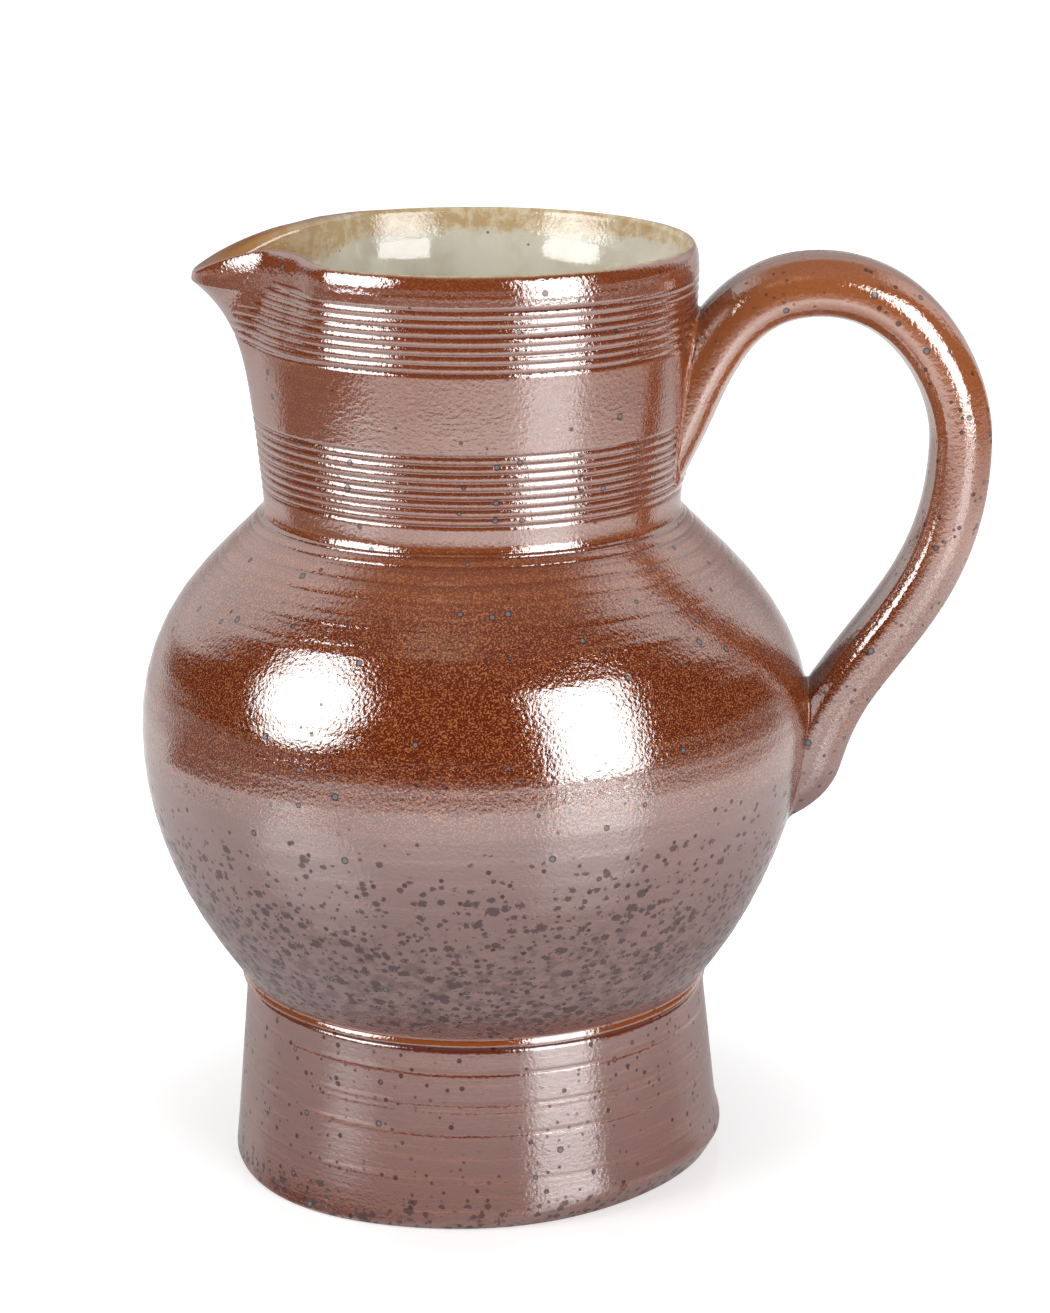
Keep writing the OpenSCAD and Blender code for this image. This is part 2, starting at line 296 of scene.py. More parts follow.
def rim_top(theta):
    """Height of the rim, raised a little beside the spout and dropping in it."""
    rise, rise_at, rise_wide = 0.9, 36.0, 14.0
    raised = height + rise * bump_at(turn_from_spout(theta), rise_at, rise_wide)
    return raised - spout_drop * beak(theta) ** 1.25


# Lines scraped round the foot: height, depth and width
foot_streaks = [
    (37.3, 0.16, 0.35), (30.0, 0.10, 0.4), (28.5, 0.08, 0.3), (23.0, 0.12, 0.45), (12.0, 0.06, 0.4),
]


def streak_wander(theta):
    return 0.2 * np.sin(theta + 2.0)


def foot_bevel_r(theta, z):
    """Bevel at the table, trimmed deeper at the front right and swollen at the front left."""
    turn = turn_from_handle(theta)
    trim, trim_wide, swell, swell_wide = 2.3, 32.0, 2.9, 27.0
    trimmed = trim * bump_at(turn, trim_turn, trim_wide)
    return base_r - trimmed + swell * bump_at(turn, swell_turn, swell_wide) + bevel_lean * z


def foot_side_r(theta, z):
    """Side of the foot, a cone a little off the axis, with a skirt by the handle and a swell."""
    turn = turn_from_handle(theta)
    top_z, top_r, lean, off_axis, off_lean = 38.0, 55.35, 0.093, 0.35, 0.017
    skirt, skirt_z, skirt_tall, skirt_turn, skirt_wide = 0.75, 6.0, 3.2, -5.0, 45.0
    swell, swell_tall, swell_wide = 2.4, 8.0, 28.0
    below = top_z - z
    r = top_r + lean * below + (off_axis + off_lean * below) * np.cos(theta)
    r = r + skirt * bump_at(z, skirt_z, skirt_tall) * bump_at(turn, skirt_turn, skirt_wide)
    r = r + swell * np.exp(-z / swell_tall) * bump_at(turn, swell_turn, swell_wide)
    for at, depth, width in foot_streaks:
        r = r - depth * bump_at(z + streak_wander(theta), at, width)
    return r


def foot_wall_r(theta, z):
    """Outside radius of the foot, with the groove under its crown."""
    bevel_blend, groove, groove_drop, groove_tall = 0.35, 0.6, 0.9, 0.45
    crown_low, crown_high = ridge_z - 0.8, ridge_z - 0.1
    r = smooth_min(foot_side_r(theta, z), foot_bevel_r(theta, z), bevel_blend)
    r = r - groove * bump_at(z, ridge_z - groove_drop, groove_tall)
    return r + (waist_ridge(z) - r) * smooth_step(crown_low, crown_high, z)


# Meshes
def circle_columns(count):
    return np.linspace(0, 2 * math.pi, count, endpoint=False)


def spin(theta, r, z):
    """Points at angles, radii and heights."""
    return np.stack([r * np.cos(theta), r * np.sin(theta), z + 0 * theta], axis=-1)


class Shell:
    """Vertices, faces and named values of one closed piece."""

    def __init__(self):
        self.points = []
        self.faces = []
        self.values = {}
        self.count = 0

    def add(self, points, **values):
        points = np.asarray(points, float)
        start = self.count
        self.points.append(points.reshape(-1, 3))
        self.count += self.points[-1].shape[0]
        for name, value in values.items():
            part = np.broadcast_to(value, points.shape[:-1]).reshape(-1)
            self.values.setdefault(name, []).append((start, part))
        return np.arange(start, self.count).reshape(points.shape[:-1])

    def grid(self, index, wrap_rows=False, wrap_columns=False):
        rows, columns = index.shape
        row = np.arange(rows if wrap_rows else rows - 1)
        column = np.arange(columns if wrap_columns else columns - 1)
        i, j = np.meshgrid(row, column, indexing="ij")
        ii, jj = (i + 1) % rows, (j + 1) % columns
        quads = np.stack([index[i, j], index[i, jj], index[ii, jj], index[ii, j]], axis=-1)
        self.faces.extend(quads.reshape(-1, 4).tolist())

    def fan(self, centre, ring):
        ring = list(ring)
        for a, b in zip(ring, ring[1:] + ring[:1]):
            self.faces.append([int(centre), int(a), int(b)])

    def cap(self, ring):
        self.faces.append([int(i) for i in ring])

    def zip_cap(self, ring):
        """Close a flat ring with strips from one side of it to the other."""
        ring = [int(i) for i in ring]
        n = len(ring)
        for i in range(n // 2 - 1):
            self.faces.append([ring[i], ring[i + 1], ring[n - 2 - i], ring[n - 1 - i]])


sharp_angle = math.radians(50)


def add_piece(name, shell, material, node):
    mesh = bpy.data.meshes.new(name)
    points = np.vstack(shell.points) * MM
    mesh.from_pydata(points.tolist(), [], shell.faces)
    for value_name, parts in shell.values.items():
        data = np.zeros(shell.count, np.float32)
        for start, part in parts:
            data[start:start + len(part)] = part
        layer = mesh.attributes.new(value_name, "FLOAT", "POINT")
        layer.data.foreach_set("value", data)
    mesh.polygons.foreach_set("use_smooth", [True] * len(mesh.polygons))
    mesh.update()
    mesh.set_sharp_from_angle(angle=sharp_angle)
    mesh.materials.append(material)
    piece = bpy.data.objects.new(name, mesh)
    bpy.context.scene.collection.objects.link(piece)
    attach(piece, "root")
    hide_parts(node)


def crown_edge(z):
    """Thin glaze on the crest between foot and belly."""
    return bump_at(z, ridge_z + 0.6, 0.9)


def make_foot(material):
    """Rows (radius, height, edge, dip) from the middle of the base, up the side and down inside."""
    theta = circle_columns(wall_columns)
    turn = turn_from_handle(theta)
    none = 0 * theta
    rows = [(r + none, none, none, none) for r in (8, 20, 32, 44, 50)]
    rows.append((foot_wall_r(theta, none) - 0.9, none, none, none))
    for a in np.radians([25, 50, 75]):
        z = base_round * (1 - math.cos(a)) + none
        rows.append((foot_wall_r(theta, z) - base_round * (1 - math.sin(a)), z, none, none))
    heights = np.concatenate([
        np.linspace(0.6, 8, 30),
        np.linspace(8.4, 40, 80),
        np.linspace(40.2, ridge_z - 1.4, 6),
        np.linspace(ridge_z - 1.3, foot_h, 30),
    ])
    trim_edge_deep, trim_edge_wide = 0.35, 36.0
    for z in heights:
        z = z + none
        past_bevel = foot_side_r(theta, z) - foot_bevel_r(theta, z)
        edge = crown_edge(z)
        for at, depth, _ in foot_streaks:
            line = bump_at(z + streak_wander(theta), at - 0.3, 0.3)
            edge = np.maximum(edge, 4.0 * depth * line)
        trimmed = bump_at(past_bevel, 0.0, trim_edge_deep) * bump_at(turn, trim_turn, trim_edge_wide)
        # Painted shade: a darker line in the groove just under the crown, where the crest shades the foot
        dip = bump_at(z, ridge_z - 0.75, 0.5)
        rows.append((foot_wall_r(theta, z), z, np.maximum(trimmed, edge), dip))
    for r, z in ((waist_lap_r, foot_h), (waist_lap_r, foot_h - lap_h), (foot_bore, foot_h - lap_h)):
        rows.append((r + none, z + none, none, none))
    for z in np.linspace(foot_h - lap_h - 4, floor_t + floor_fillet, 8):
        rows.append((foot_bore + none, z + none, none, none))
    for a in np.radians(np.arange(75, -1, -15)):
        rows.append((
            foot_bore - floor_fillet * (1 - math.sin(a)) + none,
            floor_t + floor_fillet * (1 - math.cos(a)) + none,
            none,
            none,
        ))
    rows += [(r + none, floor_t + none, none, none) for r in (30, 15, 5)]
    shell = Shell()
    index = shell.add(
        np.stack([spin(theta, r, z) for r, z, _, _ in rows]),
        edge=np.stack([e for _, _, e, _ in rows]),
        dip=np.stack([d for _, _, _, d in rows]),
    )
    shell.grid(index, wrap_columns=True)
    shell.fan(shell.add(np.zeros((1, 3)))[0], index[0][::-1])
    shell.fan(shell.add(np.array([[0, 0, floor_t]]))[0], index[-1])
    add_piece("foot_thrown", shell, material, "foot")


def make_belly(material):
    """Rows (radius, height, dip, edge) up the outside and down inside, a closed ring."""
    theta = circle_columns(wall_columns)
    none = 0 * theta
    waist_top, lines_from, full_dip = bead_z + 2, 138, 0.16
    heights = np.concatenate([
        np.linspace(foot_h, waist_top, 30)[:-1],
        np.linspace(waist_top, lines_from, 86)[:-1],
        np.linspace(lines_from, neck_z, 100),
    ])
    rows = []
    for z in heights:
        z = z + none
        dip = np.clip(turned_lines(theta, z) / full_dip, 0, 1)
        rows.append((wall_r(theta, z), z, dip, crown_edge(z)))
    high_r, low_r = neck_lap_r + slip, waist_lap_r - slip
    for r, z in ((high_r, neck_z), (high_r, neck_z - lap_h), (neck_bore, neck_z - lap_h)):
        rows.append((r + none, z + none, none, none))
    for r, z in hollow[::-6]:
        rows.append((r + 0.05 * np.sin(z * 1.3 - theta), z + none, none, none))
    for r, z in ((foot_bore, foot_h - lap_h), (low_r, foot_h - lap_h), (low_r, foot_h)):
        rows.append((r + none, z + none, none, none))
    shell = Shell()
    index = shell.add(
        np.stack([spin(theta, r, z) for r, z, _, _ in rows]),
        dip=np.stack([d for _, _, d, _ in rows]),
        edge=np.stack([e for _, _, _, e in rows]),
    )
    shell.grid(index, wrap_rows=True, wrap_columns=True)
    add_piece("belly_thrown", shell, material, "belly")


# Neck and spout share one section, so the seam between them can't be seen
def liner_edge(theta):
    """Depth under the rim at which the liner glaze starts: deep by the spout, shallow by the handle."""
    off = turn_from_spout(theta)
    depth, more_by_spout, less_by_handle = 5.5, 5.0, 2.5
    by_spout, by_handle = smooth_step(60.0, 25.0, off), smooth_step(110.0, 170.0, off)
    return depth + more_by_spout * by_spout - less_by_handle * by_handle


def liner_value(theta, z):
    """Ten at the edge of the liner glaze, growing by one for each millimetre below it."""
    return np.maximum(0.1, 10.0 + rim_top(theta) - z - liner_edge(theta))


lip_foot_z = height - lip_tall
band_top_z = lower_band_z + groove_pitch * lower_grooves
outer_heights = np.concatenate([
    np.linspace(spout_z, band_top_z, 22)[:-1],
    np.linspace(band_top_z, keep_z, 32)[:-1],
    np.linspace(keep_z, lip_foot_z, 80),
])
inner_rows = 32


def rim_rows(theta):
    """Rows (radius, height, lip, liner, dip) up the wall, over the lip and down inside."""
    share = beak(theta)
    top = rim_top(theta)
    none = 0 * theta
    tall = lip_tall + (spout_lip_tall - lip_tall) * share
    wall_top = top - tall
    rows = []
    for z in outer_heights:
        squeezed = keep_z + (z - keep_z) * (wall_top - keep_z) / (lip_foot_z - keep_z)
        zz = np.where(z <= keep_z, z, squeezed)
        rows.append((wall_r(theta, zz), zz, none, none, grooves(theta, zz)))
    wall = wall_r(theta, top) - bore_r(theta, top)
    out = lip_out * (1 - 0.55 * share)
    away = smooth_step(28.0, 75.0, turn_from_spout(theta))
    for a in np.radians(np.linspace(6, 90, 15)):
        z = wall_top + tall * math.sin(a)
        r = wall_r(theta, z) - out * (1 - math.cos(a))
        lip = smooth_step(0.93, 1.0, math.sin(a)) * away
        rows.append((r, z, lip, liner_value(theta, z), grooves(theta, z)))
    inside = []
    for a in np.radians(np.linspace(80, 0, 9)):
        z = top - lip_in_tall * (1 - math.sin(a))
        inside.append((bore_r(theta, z) + (wall - out) * (1 - math.cos(a)), z))
    start = top - lip_in_tall
    for u in np.linspace(0, 1, inner_rows)[1:]:
        z = start + (spout_z - start) * u ** 1.6
        inside.append((bore_r(theta, z), z))
    for r, z in inside:
        lip = np.maximum(away, smooth_step(-0.3, 0.5, top - z))
        rows.append((r, z, lip, liner_value(theta, z), none))
    return rows


def add_rows(shell, theta, rows):
    points = np.stack([spin(theta, row[0], row[1]) for row in rows])
    lip, liner, dip = (np.stack([row[k] for row in rows]) for k in (2, 3, 4))
    return shell.add(points, lip=lip, liner=liner, dip=dip)


def spout_angles():
    return np.linspace(math.pi - spout_half, math.pi + spout_half, spout_columns)


def make_neck(material):
    """Full ring up to the spout's foot, and above it a ring that is open where the spout stands."""
    main = np.linspace(math.pi + spout_half, 3 * math.pi - spout_half, neck_columns)
    sector = spout_angles()[1:-1]
    shell = Shell()
    upper = add_rows(shell, main, rim_rows(main))
    shell.grid(upper)
    theta = np.concatenate([main, sector + 2 * math.pi])
    none = 0 * theta
    low = []
    for z in np.linspace(spout_z, neck_z, 90)[1:]:
        low.append((wall_r(theta, z + none), z + none, none, none, grooves(theta, z + none)))
    for r, z in ((neck_lap_r, neck_z), (neck_lap_r, neck_z - lap_h), (neck_bore, neck_z - lap_h)):
        low.append((r + none, z + none, none, none, none))
    for z in np.linspace(neck_z, spout_z, 7)[:-1]:
        low.append((bore_r(theta, z + none), z + none, 1 + none, liner_value(theta, z + none), none))
    lower = add_rows(shell, theta, low)
    shell.grid(lower[:, ::-1], wrap_columns=True)
    flat = spout_z + 0 * sector
    ledge = shell.add(np.stack([spin(sector, radius(sector, flat), flat) for radius in (wall_r, bore_r)]))
    shell.grid(np.stack([lower[0], np.concatenate([upper[0], ledge[0]])]), wrap_columns=True)
    shell.grid(np.stack([np.concatenate([upper[-1], ledge[1]]), lower[-1]]), wrap_columns=True)
    shell.grid(np.stack([
        np.concatenate([[row[-1]], inner, [row[0]]])
        for row, inner in ((upper[0], ledge[0]), (upper[-1], ledge[1]))
    ]))
    shell.cap(upper[:, 0])
    shell.cap(upper[::-1, -1])
    add_piece("neck_grooved", shell, material, "neck")


def make_spout(material):
    theta = spout_angles()
    shell = Shell()
    index = add_rows(shell, theta, rim_rows(theta))
    shell.grid(index, wrap_rows=True)
    shell.cap(index[:, 0])
    shell.cap(index[::-1, -1])
    add_piece("spout_pulled", shell, material, "spout")


def make_lining(material):
    """Skin of glaze from the middle of the floor to a wavy edge in the neck, lower under the spout."""
    theta = circle_columns(lining_columns)
    none = 0 * theta
    edge = lining_top + 0.5 * np.sin(5 * theta + 1) + 0.3 * np.sin(11 * theta)
    edge = edge - (edge - spout_z + 2) * smooth_step(40.0, 16.0, turn_from_spout(theta))
    path = [(r, floor_t) for r in (6, 16, 30)]
    for a in np.radians(np.arange(0, 91, 15)):
        r = foot_bore - floor_fillet * (1 - math.sin(a))
        path.append((r, floor_t + floor_fillet * (1 - math.cos(a))))
    path += [(foot_bore, z) for z in np.linspace(floor_t + floor_fillet, foot_h, 6)[1:]]
    path += [tuple(p) for p in hollow[4:-2:8]]
    path += [(neck_bore, hollow_top)]
    path = np.array(path)
    step = np.gradient(path, axis=0)
    inward = np.stack([-step[:, 1], step[:, 0]], axis=1) / np.linalg.norm(step, axis=1)[:, None]
    deep_inside = 60.0
    skin, back, liner = [], [], []
    for p, n in zip(path, inward):
        a = p + lining_t * n
        b = p - lining_sunk * n
        skin.append(spin(theta, a[0] + none, a[1] + none))
        back.append(spin(theta, b[0] + none, b[1] + none))
        liner.append(deep_inside + none)
    for u in np.linspace(0, 1, 36):
        z = neck_z - lap_h + (edge - neck_z + lap_h) * u
        thin = lining_t * (1 - smooth_step(0.6, 1.0, u) * 0.95)
        skin.append(spin(theta, bore_r(theta, z) - thin, z))
        back.append(spin(theta, bore_r(theta, z) + lining_sunk, z))
        liner.append(liner_value(theta, z))
    shell = Shell()
    index = shell.add(np.stack(skin + back[::-1]), liner=np.stack(liner + liner[::-1]))
    shell.grid(index[:, ::-1], wrap_columns=True)
    for middle_z, ring in ((floor_t + lining_t, index[0]), (floor_t - lining_sunk, index[-1][::-1])):
        shell.fan(shell.add(np.array([[0, 0, middle_z]]), liner=deep_inside)[0], ring)
    add_piece("lining_poured", shell, material, "glaze_lining")


# Handle: a strap swept along five curves, each of its lines cut off just under the wall
upper_root_z = neck_z + 19.3
upper_root = np.array([neck_line(upper_root_z) - 3.3, upper_root_z])
arch = np.array([neck_line(upper_root_z) + 30.0, arch_top + channel - handle_t / 2])
bow = np.array([bow_x + channel - handle_t / 2, neck_z + 16.3])
lower_root = np.array([belly_r + 2.3, belly_z - 5.8])
handle_tail = lower_root - np.array([12.0, 11.0])


def heading(degrees):
    return np.array([math.cos(math.radians(degrees)), math.sin(math.radians(degrees))])


leave_wall = heading(66.6)
meet_wall = heading(75.5)
meet_tail = heading(25.0)
tail_pull = 6.0
handle_head = upper_root - 16.0 * leave_wall
head_run = upper_root - handle_head
handle_curves = [
    [handle_head, handle_head + head_run / 3, handle_head + head_run * 2 / 3, upper_root],
    [
        upper_root,
        upper_root + 0.3 * (arch[1] - upper_root[1]) * leave_wall,
        arch - np.array([0.71 * (arch[0] - upper_root[0]), 0]),
        arch,
    ],
    [
        arch,
        arch + np.array([0.67 * (bow[0] - arch[0]), 0]),
        bow + np.array([0, 0.38 * (arch[1] - bow[1])]),
        bow,
    ],
    [
        bow,
        bow - np.array([0, 0.53 * (bow[1] - lower_root[1])]),
        lower_root + 0.36 * (bow[1] - lower_root[1]) * meet_wall,
        lower_root,
    ],
    [lower_root, lower_root - tail_pull * meet_wall, handle_tail + tail_pull * meet_tail, handle_tail],
]


def handle_line(count):
    """Even points and directions along the middle line, with the share of the length at each."""
    steps = np.linspace(0, 1, 300)
    first, *rest = handle_curves
    dense = np.vstack([bezier(first, steps)] + [bezier(curve, steps[1:]) for curve in rest])
    run = np.concatenate([[0], np.cumsum(np.linalg.norm(np.diff(dense, axis=0), axis=1))])
    at = np.linspace(0, run[-1], count)
    points = np.stack([np.interp(at, run, dense[:, 0]), np.interp(at, run, dense[:, 1])], axis=1)
    along = np.gradient(points, axis=0)
    along /= np.linalg.norm(along, axis=1)[:, None]
    return points, along, at / run[-1]


# Width, and thickness as a share of handle_t, at shares of the strap's length
strap_points = 80
strap_width = ([0.0, 0.12, 0.2, 0.35, 0.7, 1.0], [27.5, 26.5, 24.8, 23.0, 22.0, 21.0])
strap_thickness = (
    [0.0, 0.1, 0.16, 0.24, 0.84, 0.91, 1.0],
    [0.86, 1.0, 1.03, 1.0, 1.0, 1.09, 1.04],
)


def strap_outline(share):
    """Half-round strap section as (out, across): flat channelled back between two arrises, full sides."""
    angle = 2 * math.pi * (np.arange(strap_points) + 0.5) / strap_points
    c, s = np.cos(angle), np.sin(angle)
    squareness, narrow_back = 0.88, 0.15
    arris, arris_at, arris_wide = 0.35, 36.0, 7.0
    inner_arris, inner_at, inner_wide = 0.28, 139.0, 5.0
    wide = np.interp(share, *strap_width)
    thick = handle_t * np.interp(share, *strap_thickness)
    across = wide / 2 * np.sign(s) * np.abs(s) ** squareness * (1 - narrow_back * c)
    out = thick / 2 * np.sign(c) * np.abs(c) ** squareness
    turn = np.degrees(np.arccos(np.clip(c, -1, 1)))
    out = out - channel * np.where(c > 0, c ** 4, 0)
    out = out + arris * bump_at(turn, arris_at, arris_wide)
    inner = inner_arris * bump_at(turn, inner_at, inner_wide)
    return out + inner * c, across + inner * s


def strap_lines(count):
    """Lines of the untrimmed strap as [row, line, xyz]."""
    points, along, share = handle_line(count)
    lines = np.zeros((count, strap_points, 3))
    for k in range(count):
        out, across = strap_outline(share[k])
        normal = np.array([-along[k][1], along[k][0]])
        lines[k, :, 0] = points[k][0] + out * normal[0]
        lines[k, :, 1] = across
        lines[k, :, 2] = points[k][1] + out * normal[1]
    return lines


def wall_gap(p):
    """How far points lie outside the wall."""
    theta = np.arctan2(p[..., 1], p[..., 0])
    return np.hypot(p[..., 0], p[..., 1]) - wall_r(theta, p[..., 2])


dense_rows = 900
strap = strap_lines(dense_rows)
strap_gap = wall_gap(strap)
strap_middle = dense_rows // 2


def crossing(line, depth, upper):
    """Row, as a real number, where a line of the strap passes under the wall."""
    gap = strap_gap[:, line] + depth
    rows = range(strap_middle, -1, -1) if upper else range(strap_middle, dense_rows)
    before = strap_middle
    for k in rows:
        if gap[k] < 0:
            return before + (k - before) * gap[before] / (gap[before] - gap[k])
        before = k
    return float(before)


def strap_at(line, row):
    """Point of a line of the strap at a row that may lie between two rows."""
    low = int(np.clip(math.floor(row), 0, dense_rows - 2))
    f = row - low
    return strap[low, line] * (1 - f) + strap[low + 1, line] * f


def make_handle(material):
    """Rows of the strap, even in the middle and drawn to the cut lines near both roots."""
    sink = 0.9
    row_count = 230
    root_zone = 0.32
    last = dense_rows - 1
    starts = np.array([crossing(j, sink, True) for j in range(strap_points)])
    ends = np.array([crossing(j, sink, False) for j in range(strap_points)])
    rows = []
    for u in np.linspace(0, 1, row_count):
        ring = []
        for j in range(strap_points):
            s0, s1 = starts[j] / last, ends[j] / last
            if u < root_zone:
                t = s0 + (root_zone - s0) * u / root_zone
            elif u > 1 - root_zone:
                t = s1 - (s1 - 1 + root_zone) * (1 - u) / root_zone
            else:
                t = u
            ring.append(strap_at(j, t * last))
        rows.append(ring)
    shell = Shell()
    index = shell.add(np.array(rows), thin=1.0)
    shell.grid(index[:, ::-1], wrap_columns=True)
    shell.zip_cap(index[0][::-1])
    shell.zip_cap(index[-1])
    add_piece("handle_pulled", shell, material, "handle")


def make_lute(name, node, upper, reach_wall, reach_strap, bead, material):
    """Wiped clay around one root, a closed ring from the strap down to the wall."""
    rows_at = [crossing(j, 0.0, upper) for j in range(strap_points)]
    contact = np.array([strap_at(j, rows_at[j]) for j in range(strap_points)])
    side = 1 if upper else -1
    strap_run = 215.0
    wall_sink = 0.12
    rows_per_mm = (dense_rows - 1) / strap_run
    climb = side * reach_strap * rows_per_mm
    high = np.array([strap_at(j, rows_at[j] + climb) for j in range(strap_points)])
    theta = np.arctan2(contact[:, 1], contact[:, 0])
    mean_r = np.hypot(contact[:, 0], contact[:, 1]).mean()
    flat = np.stack([theta * mean_r, contact[:, 2]], axis=1)
    tangent = np.roll(flat, -1, axis=0) - np.roll(flat, 1, axis=0)
    outward = np.stack([tangent[:, 1], -tangent[:, 0]], axis=1)
    outward /= np.linalg.norm(outward, axis=1)[:, None] + 1e-9
    outward *= np.sign((outward * (flat - flat.mean(axis=0))).sum(axis=1))[:, None]
    for _ in range(6):
        outward = (np.roll(outward, 1, axis=0) + 2 * outward + np.roll(outward, -1, axis=0)) / 4
    outward /= np.linalg.norm(outward, axis=1)[:, None]
    foot_flat = flat + reach_wall * outward
    foot_theta = foot_flat[:, 0] / mean_r
    ground = spin(foot_theta, wall_r(foot_theta, foot_flat[:, 1]) - wall_sink, foot_flat[:, 1])
    radial = np.stack([np.cos(theta), np.sin(theta), 0 * theta], axis=1)
    turn = 2 * math.pi * np.arange(strap_points) / strap_points
    ripple = 1 + 0.45 * np.sin(7 * turn) + 0.3 * np.sin(13 * turn + 1.0)
    rows, edges = [], []
    for u in np.linspace(0, 1, 9):
        p = (1 - u) ** 2 * high + 2 * u * (1 - u) * contact + u * u * ground
        rows.append(p + radial * (bead * bump_at(u, 0.45, 0.2) * ripple)[:, None])
        edges.append(0.5 * bump_at(u, 0.5, 0.2) + 0 * theta)
    rows[0] = high + (high.mean(axis=0) - high) * 0.02
    rows.append(ground - radial * 0.9)
    rows.append(contact - radial * 1.2)
    rows.append(high + (contact - high) * 0.5 - radial * 0.6)
    edges += [0 * theta] * 3
    shell = Shell()
    index = shell.add(np.array(rows), edge=np.array(edges), thin=1.0)
    shell.grid(index if upper else index[:, ::-1], wrap_rows=True, wrap_columns=True)
    add_piece(name, shell, material, node)


# Materials
class Graph:
    """Short calls for the nodes of one material or world."""

    def __init__(self, tree):
        self.tree = tree
        tree.nodes.clear()

    def node(self, kind, **sockets):
        made = self.tree.nodes.new(kind)
        for name, value in sockets.items():
            self.put(made.inputs[name.replace("_", " ")], value)
        return made

    def put(self, socket, value):
        if isinstance(value, bpy.types.NodeSocket):
            self.tree.links.new(value, socket)
        elif isinstance(value, tuple) and socket.type == "RGBA" and len(value) == 3:
            socket.default_value = (*value, 1.0)
        else:
            socket.default_value = value

    def math(self, operation, a, b=0.0):
        made = self.tree.nodes.new("ShaderNodeMath")
        made.operation = operation
        self.put(made.inputs[0], a)
        self.put(made.inputs[1], b)
        return made.outputs[0]

    def add(self, *values):
        total = values[0]
        for value in values[1:]:
            total = self.math("ADD", total, value)
        return total

    def times(self, *values):
        total = values[0]
        for value in values[1:]:
            total = self.math("MULTIPLY", total, value)
        return total

    def scaled(self, vector, scale):
        made = self.tree.nodes.new("ShaderNodeVectorMath")
        made.operation = "MULTIPLY"
        self.put(made.inputs[0], vector)
        self.put(made.inputs[1], scale)
        return made.outputs[0]

    def most(self, a, b):
        return self.math("MAXIMUM", a, b)

    def less(self, a, b):
        return self.math("SUBTRACT", a, b)

    def noise(self, vector, scale, detail, rough):
        made = self.node(
            "ShaderNodeTexNoise", Vector=vector, Scale=scale, Detail=detail, Roughness=rough
        )
        return made.outputs["Fac"]

    def cells(self, vector, scale):
        """Distance from the middle of each cell, and two random values for each."""
        made = self.node("ShaderNodeTexVoronoi", Vector=vector, Scale=scale).outputs
        pick = self.node("ShaderNodeSeparateColor", Color=made["Color"]).outputs
        return made["Distance"], pick["Red"], pick["Green"]

    def spots(self, vector, scale, share):
        """Distance from the middle of each cell, 1 in the share of them that hold a spot, and a size."""
        distance, pick, size = self.cells(vector, scale)
        return distance, self.span(pick, share, share - 0.03), size

    def span(self, value, low, high, out_low=0.0, out_high=1.0):
        made = self.tree.nodes.new("ShaderNodeMapRange")
        made.interpolation_type = "SMOOTHSTEP"
        self.put(made.inputs["Value"], value)
        limits = {"From Min": low, "From Max": high, "To Min": out_low, "To Max": out_high}
        for name, number in limits.items():
            made.inputs[name].default_value = number
        return made.outputs["Result"]

    def mix(self, factor, a, b):
        made = self.tree.nodes.new("ShaderNodeMix")
        made.data_type = "RGBA"
        self.put(made.inputs[0], factor)
        self.put(made.inputs[6], a)
        self.put(made.inputs[7], b)
        return made.outputs[2]

    def attribute(self, name):
        made = self.tree.nodes.new("ShaderNodeAttribute")
        made.attribute_name = name
        return made.outputs["Fac"]

    def principled(self, **sockets):
        shader = self.node("ShaderNodeBsdfPrincipled", **sockets)
        self.node("ShaderNodeOutputMaterial", Surface=shader.outputs[0])


def new_material(name):
    """A material, and the graph that its nodes go into."""
    material = bpy.data.materials.new(name)
    material.use_nodes = True
    return material, Graph(material.node_tree)


# Colours of the glazes
RED = (0.155, 0.025, 0.008)
DEEP = (0.125, 0.021, 0.007)
BELLY_RED = (0.10, 0.013, 0.004)
TAN = (0.50, 0.17, 0.06)
ORANGE = (0.34, 0.09, 0.022)
PURPLE = (0.17, 0.06, 0.05)
DARK = (0.035, 0.018, 0.014)
MOTTLE = (0.065, 0.036, 0.039)
BLUE = (0.15, 0.18, 0.22)
SPOUT_BROWN = (0.40, 0.19, 0.06)
OCHRE = (0.54, 0.38, 0.19)
CREAM = (0.69, 0.57, 0.39)
CELADON = (0.72, 0.68, 0.56)
CELADON_DEEP = (0.62, 0.57, 0.45)
SPECK = (0.12, 0.09, 0.06)

# How the glaze tints its reflections
CLEAR = (1.0, 1.0, 1.0)
DULL = (0.3, 0.27, 0.27)
LIP_DULL = (0.45, 0.45, 0.45)

# Heights in millimetres between which a change of the outside glaze comes in; some also bring in painted
# glints and a painted top light
DRY = (98.0, 62.0)
FOOT = (46.0, 43.0)
ABOVE_FOOT = (46.0, 52.0)
# Grain of the belly, with its painted glints, comes in and fades out between these
GRAIN_AND_GLINTS_FROM = (95.0, 108.0)
GRAIN_AND_GLINTS_TO = (148.0, 166.0)
SHOULDER = (142.0, 152.0)
COLLAR = (172.0, 156.0)
# Tan of the strap grows between these: thin glaze, and partly a painted top light
STRAP_TAN_AND_TOP_LIGHT = (145.0, 195.0)
MAUVE = (106.0, 90.0)
MOTTLED = (104.0, 58.0)
MOTTLED_TO = (46.5, 49.0)
BY_TABLE = (9.0, 1.0)
PITTED = (112.0, 96.0)
CROWN = (40.0, 42.0)
GLOSSY = (58.0, 84.0)
PLAIN_BAND_LOW = (173.0, 180.0)
PLAIN_BAND_HIGH = (194.0, 188.0)

# Height of the glazes' relief in metres
GLAZE_RELIEF = 0.00006
LINER_RELIEF = 0.00004


def millimetres(g):
    return g.scaled(g.node("ShaderNodeTexCoord").outputs["Object"], (1000.0, 1000.0, 1000.0))


